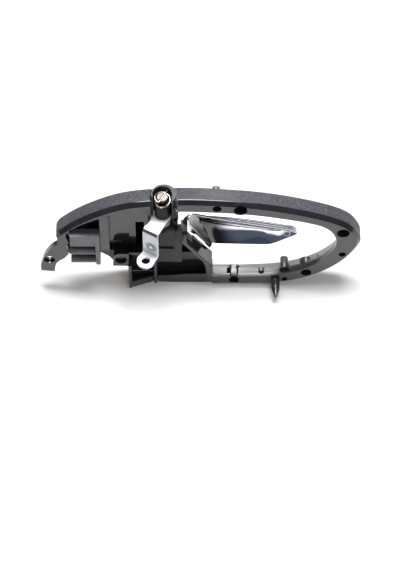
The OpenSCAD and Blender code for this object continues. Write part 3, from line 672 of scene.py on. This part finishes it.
def shaded(material, direction, start, stop, dim):
    """Paints shade: multiplies a plated metal's colour by dim on the near side of a slanted plane,
    in mm.
    """
    tree, at, shader = nodes_of(material)
    if "dimmed" in tree.nodes:
        return material
    mask = place(
        tree, "ShaderNodeGroup", -700, 500, node_tree=shade_group(),
        given={"Direction": direction, "From": start * MM, "To": stop * MM})
    dimmed = place(
        tree, "ShaderNodeMix", -450, 500, {COLOUR_A: (*dim, 1), COLOUR_B: (1, 1, 1, 1)},
        data_type="RGBA", name="dimmed")
    product = place(
        tree, "ShaderNodeMix", -250, 300, {0: 1}, data_type="RGBA", blend_type="MULTIPLY")
    link = tree.links.new
    link(at, mask.inputs["Vector"])
    link(mask.outputs["Mask"], dimmed.inputs[0])
    link(shader.inputs["Base Color"].links[0].from_socket, product.inputs[COLOUR_A])
    link(dimmed.outputs[COLOUR_OUT], product.inputs[COLOUR_B])
    link(product.outputs[COLOUR_OUT], shader.inputs["Base Color"])
    return material


def zinc_plate():
    return plated("zinc_plate", colours().zinc, 0.34, 0.48, brushed=0.2, metallic=0.35)


def web_zinc_painted_light():
    """Plating of the lever's web, darker than the top plate as painted shade, with a painted
    highlight on the pressed dot and painted shade around it.
    """
    metal = plated("web_zinc_painted_light", (0.5, 0.52, 0.55), 0.3, 0.42, brushed=0.2, metallic=0.5)
    return spotted(metal, (
        (PRESSED_DOT, 3.2, 5.2, (0.2, 0.21, 0.23)), (PRESSED_DOT, 0.9, 1.4, (0.95, 0.95, 1))))


def bend_zinc_painted_shade():
    # Painted shade: the bend turns away from the light and is coloured dark
    return plated("bend_zinc_painted_shade", (0.12, 0.12, 0.13), 0.3, 0.42, brushed=0.2, metallic=0.6)


def steel():
    return plated("bright_steel", colours().steel, 0.3, 0.45, brushed=0.2)


def pin_steel():
    return plated("pin_steel", (0.075, 0.07, 0.064), 0.22, 0.34, brushed=0.4)


def dark_steel():
    return plated("blackened_steel", (0.035, 0.035, 0.038), 0.4, 0.55)


def cast_zinc():
    return plated("cast_zinc", (0.035, 0.035, 0.038), 0.5, 0.6, patches=150, metallic=0.5)


def spring_wire():
    return plated(
        "drawn_spring_wire", (0.62, 0.58, 0.52), 0.2, 0.36, tint=(0.4, 0.34, 0.28), patches=300)


def chrome_plate():
    return plated("chrome_plate", colours().chrome, 0.04, 0.1, tint=(0.8, 0.81, 0.85), patches=60)


def bowl_chrome():
    """Plating of the bowl, with a painted dark reflection that grows towards the crease."""
    metal = plated("bowl_chrome", colours().chrome, 0.05, 0.12, tint=(0.8, 0.81, 0.85), patches=60)
    return shaded(metal, (0.93, 0, 0.29), 17, 30, (0.12, 0.112, 0.105))


def dim_chrome():
    """Satin plating of the neck's facet, with painted shade that darkens it towards its bottom."""
    metal = plated(
        "satin_chrome_painted_shade", (0.75, 0.74, 0.72), 0.3, 0.42, tint=(0.5, 0.49, 0.47), patches=120,
        metallic=0.25)
    return shaded(metal, (-0.3, 0, 0.95), 43, 60, (0.12, 0.12, 0.14))


class PieceOperator:
    """What the operators share."""

    bl_options = {"REGISTER", "UNDO"}


class HANDLE_OT_carrier(PieceOperator, bpy.types.Operator):
    """Glossy black back moulding with rounded edges"""

    bl_idname = "door_handle.carrier"
    bl_label = "Carrier"

    def execute(self, context):
        nodes = [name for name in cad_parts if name.startswith("carrier_")]
        piece = united(nodes)
        outer = Outline(RING_OUTER)
        for vertex in piece.data.vertices:
            # The screw bosses at the upper right end under the chamfer
            x, y, z = vertex.co / MM
            depth, _ = outer.nearest(x, z)
            if y < CHAMFER - depth and x > 0 and z > 60:
                vertex.co.y = (CHAMFER - depth) * MM
        rounded(piece, sizes().edge_radius)
        follow_outline(piece, outer, (-1, 4.5))
        follow_outline(piece, Outline(RING_INNER), (-1.5, 1.5), sign=-1)
        finish_piece(piece, "carrier", "carrier", carrier_plastic())
        # The swept wall's end beside the bracket is dull
        paint(piece, bracket_plastic(),
              lambda at, n: n.z > 0.3 and -22 < at.x < -12 and 51 < at.z < 56)
        for node in nodes:
            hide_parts(node)
        return {"FINISHED"}


class HANDLE_OT_trim(PieceOperator, bpy.types.Operator):
    """Grained charcoal front moulding"""

    bl_idname = "door_handle.trim"
    bl_label = "Trim ring"

    def execute(self, context):
        piece = refined("trim_ring", sizes().edge_radius)
        outer = Outline(RING_OUTER)
        follow_outline(piece, outer, (-1, 5), steps=(0,))
        follow_outline(piece, Outline(RING_INNER), (-8, 3), sign=-1, steps=(0,))
        finish_piece(piece, "trim", "carrier", polished_trim())
        # The grain is on the outer wall
        paint(piece, trim_plastic(),
              lambda at, n: outer.nearest(at.x, at.z)[0] < 2.5 and n.y > -0.5)
        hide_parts("trim_ring")
        return {"FINISHED"}


class HANDLE_OT_bracket(PieceOperator, bpy.types.Operator):
    """Black bearing bracket with the shield around the spring"""

    bl_idname = "door_handle.bracket"
    bl_label = "Bearing bracket"

    def execute(self, context):
        piece = refined("pivot_bracket", sizes().edge_radius)
        finish_piece(piece, "bracket", "carrier", bracket_plastic())
        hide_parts("pivot_bracket")
        return {"FINISHED"}


class HANDLE_OT_lever(PieceOperator, bpy.types.Operator):
    """Bright plated crank lever with the cable eye"""

    bl_idname = "door_handle.lever"
    bl_label = "Crank lever"

    def execute(self, context):
        piece = refined("crank_lever", sizes().metal_edge_radius)
        finish_piece(piece, "lever", "lever", zinc_plate())
        # The web's back, and the bend above it, get painted shade, and the web's dot a painted
        # highlight
        paint(piece, web_zinc_painted_light(), lambda at, n: n.y < -0.6 and abs(n.z) < 0.3 and n.x < 0)
        paint(piece, bend_zinc_painted_shade(),
              lambda at, n: n.x < 0 and 0.25 < n.z < 0.85 and n.y < -0.3 and at.z > 70)
        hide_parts("crank_lever")
        return {"FINISHED"}


class HANDLE_OT_pull(PieceOperator, bpy.types.Operator):
    """Chromed pull handle"""

    bl_idname = "door_handle.pull"
    bl_label = "Pull handle"

    def execute(self, context):
        arm = self.without_blade(welded(copy_of("pull_handle")))
        rounded(arm, sizes().edge_radius)
        finish_piece(arm, "pull_arm", "lever", cast_zinc())
        # A hollow casting whose bowl runs out in a crease isn't within reach of extruding and
        # bevelling, so its two faces are laid out as grids of points
        blade = self.blade()
        finish_piece(blade, "pull_blade", "lever", chrome_plate())
        paint(blade, bowl_chrome(), self.in_bowl)
        paint(blade, dim_chrome(), self.in_neck)
        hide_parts("pull_handle")
        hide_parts("pull_handle")
        self.ejector_mark()
        return {"FINISHED"}

    def past_crease(self, at):
        """How far a point lies to the right of the crease."""
        x0, z0 = CREASE_TOP
        x1, z1 = BLADE_BOTTOM[0]
        return at.x - x0 - (z0 - at.z) * (x1 - x0) / (z0 - z1)

    def in_bowl(self, at, normal):
        """The hollow to the right of the crease."""
        return normal.y < -0.1 and at.y > RIM_Y + 0.05 and self.past_crease(at) > 0

    def in_neck(self, at, normal):
        """The facet between the hinge side's rim and the crease."""
        return normal.y < -0.2 and self.past_crease(at) < -0.5 and at.y > RIM_Y + 0.25

    def without_blade(self, piece):
        """Leaves the barrel and the arm of the frame's casting."""
        grow = BLADE_ROOM
        edge = [(x + 0.3 * grow, z + grow) for x, z in BLADE_TOP[:-1]]
        edge += [(BLADE_TOP[-1][0] + grow, BLADE_TOP[-1][1])]
        edge += [(x + 0.3 * grow, z - grow) for x, z in reversed(BLADE_BOTTOM[:-1])]
        edge += [BLADE_HINGE_LOW, *BLADE_HINGE_TOP[:-1]]
        points = [Vector((x, y, z)) for y in (RIM_Y - 0.05, CROWN_Y + 4) for x, z in edge]
        count = len(edge)
        faces = [tuple(range(count)), tuple(range(2 * count - 1, count - 1, -1))]
        faces += [(i, (i + 1) % count, (i + 1) % count + count, i + count) for i in range(count)]
        room = take(new_piece("blade_room", points, faces))
        bpy.ops.object.mode_set(mode="EDIT")
        bpy.ops.mesh.select_all(action="SELECT")
        bpy.ops.mesh.normals_make_consistent(inside=False)
        bpy.ops.object.mode_set(mode="OBJECT")
        combined(piece, room, "DIFFERENCE")
        return piece

    def stations(self):
        """Columns of the grid: top and bottom end, bowl's share, facet's drop, and a lead.

        The lead is where a neck column's facet starts below the top edge, in mm, and how much a
        bowl column is of the tip.
        """
        top = open_curve(BLADE_TOP)
        bottom = open_curve(BLADE_BOTTOM)
        hinge_top = [Vector(p) for p in (*BLADE_HINGE_TOP, CREASE_TOP)]
        low, step_low = Vector(BLADE_HINGE_LOW), Vector(BLADE_BOTTOM[0])
        stations = []
        for t, drop in NECK_DROPS:
            lead = 7 * (1 - ease((t - 0.3) / 0.5))
            lower = low.lerp(step_low, min(1, t * 1.6))
            stations.append((along(hinge_top, t), lower, 0, drop, lead))
        lengths = [(b - a).length for a, b in zip(top, top[1:])]
        start = (Vector(CREASE_TOP) - top[0]).length / sum(lengths)
        for i in range(BOWL_COLUMNS + 1):
            # The columns are closer together towards the tip
            a = 1 - (1 - i / BOWL_COLUMNS) ** 1.6
            upper = along(top, lerp(start, 1, a))
            lower = along(bottom, a)
            height = max((upper - lower).length, 0.05)
            full = min(1, sizes().bowl_depth / MM / (BOWL_SHARE * height))
            depth = full * ease((0.1 + a) / 0.22)
            stations.append((upper, lower, depth, 0, ease((upper.x - 42) / 12)))
        return stations

    def profile(self, height, depth, drop, lead):
        """Distances below the top edge and in front of the rim, in mm, down one column."""
        size = min(1, height / FULL_HEIGHT)
        rows = [(below * size, deep * size) for below, deep in RIM_ROWS]
        low = height - rows[2][0]
        if depth:
            rows += [(below * size, deep * size * depth) for below, deep in BAND_ROWS]
            at, deep = rows[-1]
            step = (low - at) / BOWL_ROWS
            inner = []
            for i in range(BOWL_ROWS):
                slope = self.bowl_slope((i + 0.5) / BOWL_ROWS, lead)
                deep += math.tan(math.radians(slope)) * step * depth
                at += step
                inner.append((at, deep))
            # The bowl comes back to the rim exactly
            for i, (at, d) in enumerate(inner):
                rows.append((at, max(d - deep * (i + 1) / BOWL_ROWS, 0)))
        else:
            first = rows[-1][0]
            count = BOWL_ROWS + len(BAND_ROWS)
            for i in range(count):
                share = (i + 1) / count
                at = lerp(first, low, share)
                rows.append((at, drop * ease((at - lead) / 2.5) * ease(6 - 6 * share)))
        return rows + [(height - below * size, deep * size) for below, deep in RIM_ROWS[1::-1]]

    def bowl_slope(self, share, tip):
        """How steeply the bowl gets deeper, in degrees, from its top to its bottom."""
        slopes = []
        for knots in (BOWL_SLOPES, TIP_SLOPES):
            for (low, first), (high, last) in zip(knots, knots[1:]):
                if low <= share <= high:
                    slopes.append(lerp(first, last, (share - low) / (high - low)))
                    break
        return lerp(slopes[0], slopes[1], tip)

    def crown(self, at):
        """The blade's front at a point of its outline."""
        lean = math.radians(CROWN_SLOPE)
        reach = math.sqrt(CROWN_R**2 - (at.y - CROWN_Z) ** 2)
        front = CROWN_Y - CROWN_R + (reach - (at.x - CROWN_X) * math.sin(lean)) / math.cos(lean)
        return max(front, RIM_Y + 1.5)

    def blade(self):
        """Grid of the hollow back and grid of the crowned front, closed to one solid."""
        back, front = [], []
        stations = self.stations()
        for i, (upper, lower, depth, drop, lead) in enumerate(stations):
            ahead = stations[min(i + 1, len(stations) - 1)][0] - stations[max(i - 1, 0)][0]
            out = Vector((-ahead.y, ahead.x)).normalized()
            height = max((upper - lower).length, 0.05)
            behind, ahead = [], []
            for below, deep in self.profile(height, depth, drop, lead):
                at = upper.lerp(lower, below / height)
                crown = self.crown(at)
                # The front's edge is rounded
                inset = max(0, FRONT_RADIUS - min(below, height - below))
                soft = FRONT_RADIUS - math.sqrt(FRONT_RADIUS**2 - inset**2)
                behind.append(Vector((at.x, min(RIM_Y + deep, crown - 1), at.y)))
                ahead.append(Vector((at.x, max(crown - soft, RIM_Y + 0.9), at.y)))
            # Two beads run along the top wall
            wall = []
            size = min(1, height / FULL_HEIGHT) * (1 if depth else 0)
            for j in range(WALL_ROWS):
                share = (j + 0.5) / WALL_ROWS
                at = upper + out * math.sin(math.tau * share * 2) * BEAD * size
                wall.append(Vector((at.x, lerp(RIM_Y + 0.6 * size, ahead[0].y, share), at.y)))
            back.append([behind[0]] * WALL_ROWS + behind)
            front.append(wall + ahead)
        piece = skin("blade", back, front)
        bpy.ops.object.shade_smooth_by_angle(angle=math.radians(40))
        return piece

    def ejector_mark(self):
        """Small ring cast into the bowl near the tip"""
        deselect()
        bpy.ops.mesh.primitive_torus_add(
            major_radius=2.1 * MM, minor_radius=0.4 * MM, major_segments=40, minor_segments=10,
            location=Vector(MARK_AT) * MM,
            rotation=Vector(MARK_OUT).to_track_quat("Z", "Y").to_euler())
        bpy.ops.object.transform_apply(location=True, rotation=True, scale=True)
        bpy.ops.object.shade_smooth()
        finish_piece(bpy.context.object, "ejector_mark", "lever", chrome_plate())


class HANDLE_OT_clip(PieceOperator, bpy.types.Operator):
    """Ribbed cable clip"""

    bl_idname = "door_handle.clip"
    bl_label = "Cable clip"

    def execute(self, context):
        piece = refined("cable_clip", sizes().edge_radius * 2.6, segments=3)
        finish_piece(piece, "clip", "carrier", clip_plastic())
        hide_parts("cable_clip")
        return {"FINISHED"}


class HANDLE_OT_small_parts(PieceOperator, bpy.types.Operator):
    """Pin, bushings, spring, screws and pads"""

    bl_idname = "door_handle.small_parts"
    bl_label = "Small parts"

    def execute(self, context):
        edge = sizes().metal_edge_radius
        plan = {
            "pivot_pin": ("pin", "lever", pin_steel(), "steel", edge),
            "pin_retainer": ("retainer", "lever", steel(), "steel", edge),
            "spacer_sleeve": ("sleeve", "lever", steel(), "steel", edge),
            "spring_collar": ("collar", "lever", collar_plastic(), "collar", edge),
            "handle_bumper": ("bumper", "lever", rubber(), "rubber", edge / 2),
            "handle_pad": ("pad", "lever", rubber(), "rubber", edge / 2),
            "upper_bushing": ("bushing_upper", "carrier", bushing_plastic(), "bushing", edge),
            "lower_bushing": ("bushing_lower", "carrier", bushing_plastic(), "bushing", edge),
            "thrust_washer": ("washer", "carrier", steel(), "steel", edge / 2),
            "return_spring": ("spring", "carrier", spring_wire(), "spring_steel", 0),
            "clip_pin": ("clip_rivet", "carrier", steel(), "steel", edge),
        }
        for i in range(1, 5):
            plan[f"trim_screw_{i}"] = (f"screw_{i}", "carrier", dark_steel(), "steel", edge / 2)
        for node, (name, body, material, slot, radius) in plan.items():
            # The wire's facets turn more than other faces that shade as one
            piece = refined(node, radius, angle=50 if node == "return_spring" else EDGE_ANGLE)
            if node == "handle_pad":
                # Pressed a little wider than its seat, to the left and downwards
                for vertex in piece.data.vertices:
                    vertex.co.x -= 1.0 * MM * ease((-9.9 - vertex.co.x / MM) / 0.5)
                    vertex.co.z -= 0.8 * MM * ease((45.2 - vertex.co.z / MM) / 0.5)
            finish_piece(piece, name, body, material)
            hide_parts(node)
        return {"FINISHED"}


class HANDLE_OT_stage(PieceOperator, bpy.types.Operator):
    """Floor, lights, world and camera"""

    bl_idname = "door_handle.stage"
    bl_label = "Stage"

    def execute(self, context):
        self.make_floor()
        self.make_lights()
        self.make_world()
        self.make_camera()
        context.scene.view_settings.view_transform = "Standard"
        return {"FINISHED"}

    def make_floor(self):
        deselect()
        bpy.ops.mesh.primitive_plane_add(size=8, location=(0, 0, 0))
        floor = bpy.context.object
        floor.name = "floor"
        bpy.ops.object.transform_apply(location=True, rotation=True, scale=True)
        material = start_material("studio_floor", FLOOR_COLOUR, roughness=0.9)
        tree, at, shader = nodes_of(material)
        output = next(n for n in tree.nodes if n.bl_idname == "ShaderNodeOutputMaterial")
        path = place(tree, "ShaderNodeLightPath", -500, 400)
        link = tree.links.new
        # Painted reflection: away from the handle, towards the camera, the floor is coloured dark
        # for reflections only, as a dark room
        parts = place(tree, "ShaderNodeSeparateXYZ", -1200, 100)
        far = place(
            tree, "ShaderNodeMapRange", -1000, 100, {"From Min": -0.07, "From Max": -0.12},
            interpolation_type="SMOOTHSTEP")
        seen = place(tree, "ShaderNodeMath", -800, 250, operation="MULTIPLY")
        dark = place(
            tree, "ShaderNodeMix", -600, 100, data_type="RGBA",
            given={COLOUR_A: (*FLOOR_COLOUR, 1), COLOUR_B: (0.02, 0.026, 0.042, 1)})
        link(at, parts.inputs[0])
        link(parts.outputs["Y"], far.inputs["Value"])
        link(far.outputs["Result"], seen.inputs[0])
        link(path.outputs["Is Glossy Ray"], seen.inputs[1])
        link(seen.outputs[0], dark.inputs[0])
        link(dark.outputs[COLOUR_OUT], shader.inputs["Base Color"])
        # A faint glow for the camera and for reflections
        either = place(tree, "ShaderNodeMath", -300, 400, operation="MAXIMUM")
        level = place(tree, "ShaderNodeMath", -150, 400, {1: 0.05}, operation="MULTIPLY")
        link(path.outputs["Is Camera Ray"], either.inputs[0])
        link(path.outputs["Is Glossy Ray"], either.inputs[1])
        link(either.outputs[0], level.inputs[0])
        # Far off, in metres, the floor is as bright as the background
        away = place(tree, "ShaderNodeVectorMath", -1200, 400, operation="LENGTH")
        distant = place(
            tree, "ShaderNodeMapRange", -1000, 400, {"From Min": 0.35, "From Max": 0.8},
            interpolation_type="SMOOTHSTEP")
        bright = place(tree, "ShaderNodeMath", -800, 450, operation="MULTIPLY")
        total = place(tree, "ShaderNodeMath", -100, 500, {1: 1.2}, operation="MULTIPLY_ADD")
        link(at, away.inputs[0])
        link(away.outputs["Value"], distant.inputs["Value"])
        link(distant.outputs["Result"], bright.inputs[0])
        link(path.outputs["Is Camera Ray"], bright.inputs[1])
        link(bright.outputs[0], total.inputs[0])
        link(level.outputs[0], total.inputs[2])
        glow = place(tree, "ShaderNodeEmission", 0, 300)
        both = place(tree, "ShaderNodeAddShader", 200, 100)
        link(dark.outputs[COLOUR_OUT], glow.inputs["Color"])
        link(total.outputs[0], glow.inputs["Strength"])
        link(glow.outputs[0], both.inputs[0])
        link(shader.outputs[0], both.inputs[1])
        link(both.outputs[0], output.inputs["Surface"])
        floor.data.materials.append(material)

    def lamp(self, name, location, size, power):
        """Soft lamp that faces the handle. It mirrors in it only from the far side."""
        deselect()
        bpy.ops.object.light_add(type="AREA", location=location)
        lamp = bpy.context.object
        lamp.name = name
        lamp.data.shape = "RECTANGLE"
        lamp.data.size, lamp.data.size_y = size
        lamp.data.energy = power
        lamp.data.color = (0.96, 0.98, 1)
        lamp.visible_glossy = location[1] > 0
        aim = Vector((0, 0, 0.04)) - Vector(location)
        lamp.rotation_euler = aim.to_track_quat("-Z", "Y").to_euler()

    def make_lights(self):
        self.lamp("softbox_above", (0.05, 0.17, 1.25), (0.8, 0.36), 25.0)
        self.lamp("softbox_left", (-1.0, -0.1, 0.8), (0.4, 0.4), 1.5)
        self.lamp("softbox_front", (0.4, -0.9, 0.7), (0.6, 0.4), 4.0)

    def make_world(self):
        world = bpy.context.scene.world or bpy.data.worlds.new("studio")
        bpy.context.scene.world = world
        world.use_nodes = True
        tree = world.node_tree
        tree.nodes.clear()
        link = tree.links.new
        coords = place(tree, "ShaderNodeTexCoord", -900, -100)
        path = place(tree, "ShaderNodeLightPath", -300, 300)
        glossy = path.outputs["Is Glossy Ray"]
        # The room's light, and its colour in reflections
        fill = place(
            tree, "ShaderNodeMix", -250, 50, data_type="RGBA",
            given={COLOUR_A: (0.4, 0.37, 0.345, 1), COLOUR_B: (0.95, 0.96, 1, 1)})
        link(glossy, fill.inputs[0])
        last = fill.outputs[COLOUR_OUT]
        # For reflections only: a dark room behind the camera, and a window and a lamp above the
        # far side, each by direction, its product at the edge and in the middle, and colour
        for y, (direction, edge, middle, shown) in enumerate((
                ((0, -0.95, 0.31), 0.3, 0.62, (0.11, 0.14, 0.21)),
                ((0.1, 0.98, 0.18), 0.96, 0.995, (12, 12, 12.3)),
                ((-0.05, 0.57, 0.82), 0.955, 0.985, (30, 30, 30.5)))):
            mask = place(
                tree, "ShaderNodeGroup", -500, -200 - 300 * y, node_tree=shade_group(),
                given={"Direction": direction, "From": edge, "To": middle})
            only = place(tree, "ShaderNodeMath", -300, -200 - 300 * y, operation="MULTIPLY")
            mix = place(
                tree, "ShaderNodeMix", -100 + 50 * y, -200, {COLOUR_B: (*shown, 1)},
                data_type="RGBA")
            link(coords.outputs["Generated"], mask.inputs["Vector"])
            link(mask.outputs["Mask"], only.inputs[0])
            link(glossy, only.inputs[1])
            link(only.outputs[0], mix.inputs[0])
            link(last, mix.inputs[COLOUR_A])
            last = mix.outputs[COLOUR_OUT]
        room = place(tree, "ShaderNodeBackground", 100, -100, {"Strength": 0.45})
        back = place(
            tree, "ShaderNodeBackground", 100, 100, {"Color": (1, 1, 1, 1), "Strength": 1.0})
        either = place(tree, "ShaderNodeMixShader", 350, 0)
        output = place(tree, "ShaderNodeOutputWorld", 600, 0)
        link(last, room.inputs["Color"])
        link(path.outputs["Is Camera Ray"], either.inputs[0])
        link(room.outputs[0], either.inputs[1])
        link(back.outputs[0], either.inputs[2])
        link(either.outputs[0], output.inputs["Surface"])

    def make_camera(self):
        tilt = math.radians(CAMERA_TILT)
        deselect()
        bpy.ops.object.camera_add(
            location=CAMERA_TARGET + Vector((0, -math.cos(tilt), math.sin(tilt))) * CAMERA_DISTANCE,
            rotation=(math.radians(90) - tilt, 0, 0))
        camera = bpy.context.object
        camera.name = "photo_camera"
        camera.data.sensor_width = 36
        camera.data.lens = CAMERA_LENS
        camera.data.clip_start = 0.05
        camera.data.clip_end = 50
        bpy.context.scene.camera = camera


class HANDLE_PT_panel(bpy.types.Panel):
    """Buttons for the handle's pieces"""

    bl_idname = "HANDLE_PT_panel"
    bl_label = "Door handle"
    bl_space_type = "VIEW_3D"
    bl_region_type = "UI"
    bl_category = "Door handle"

    def draw(self, context):
        column = self.layout.column()
        for operator in OPERATORS:
            column.operator(operator.bl_idname)
        for group in (context.scene.door_handle_sizes, context.scene.door_handle_colours):
            box = self.layout.box()
            for key in group.__annotations__:
                box.prop(group, key)


OPERATORS = (
    HANDLE_OT_carrier,
    HANDLE_OT_trim,
    HANDLE_OT_bracket,
    HANDLE_OT_lever,
    HANDLE_OT_pull,
    HANDLE_OT_clip,
    HANDLE_OT_small_parts,
    HANDLE_OT_stage,
)
CLASSES = (DoorHandleSizes, DoorHandleColours, *OPERATORS, HANDLE_PT_panel)


def register():
    for cls in CLASSES:
        bpy.utils.register_class(cls)
    bpy.types.Scene.door_handle_sizes = PointerProperty(type=DoorHandleSizes)
    bpy.types.Scene.door_handle_colours = PointerProperty(type=DoorHandleColours)


def unregister():
    del bpy.types.Scene.door_handle_colours
    del bpy.types.Scene.door_handle_sizes
    for cls in reversed(CLASSES):
        bpy.utils.unregister_class(cls)


def main():
    register()
    bpy.ops.door_handle.carrier()
    bpy.ops.door_handle.trim()
    bpy.ops.door_handle.bracket()
    bpy.ops.door_handle.lever()
    bpy.ops.door_handle.pull()
    bpy.ops.door_handle.clip()
    bpy.ops.door_handle.small_parts()
    bpy.ops.door_handle.stage()


if __name__ == "__main__":
    main()
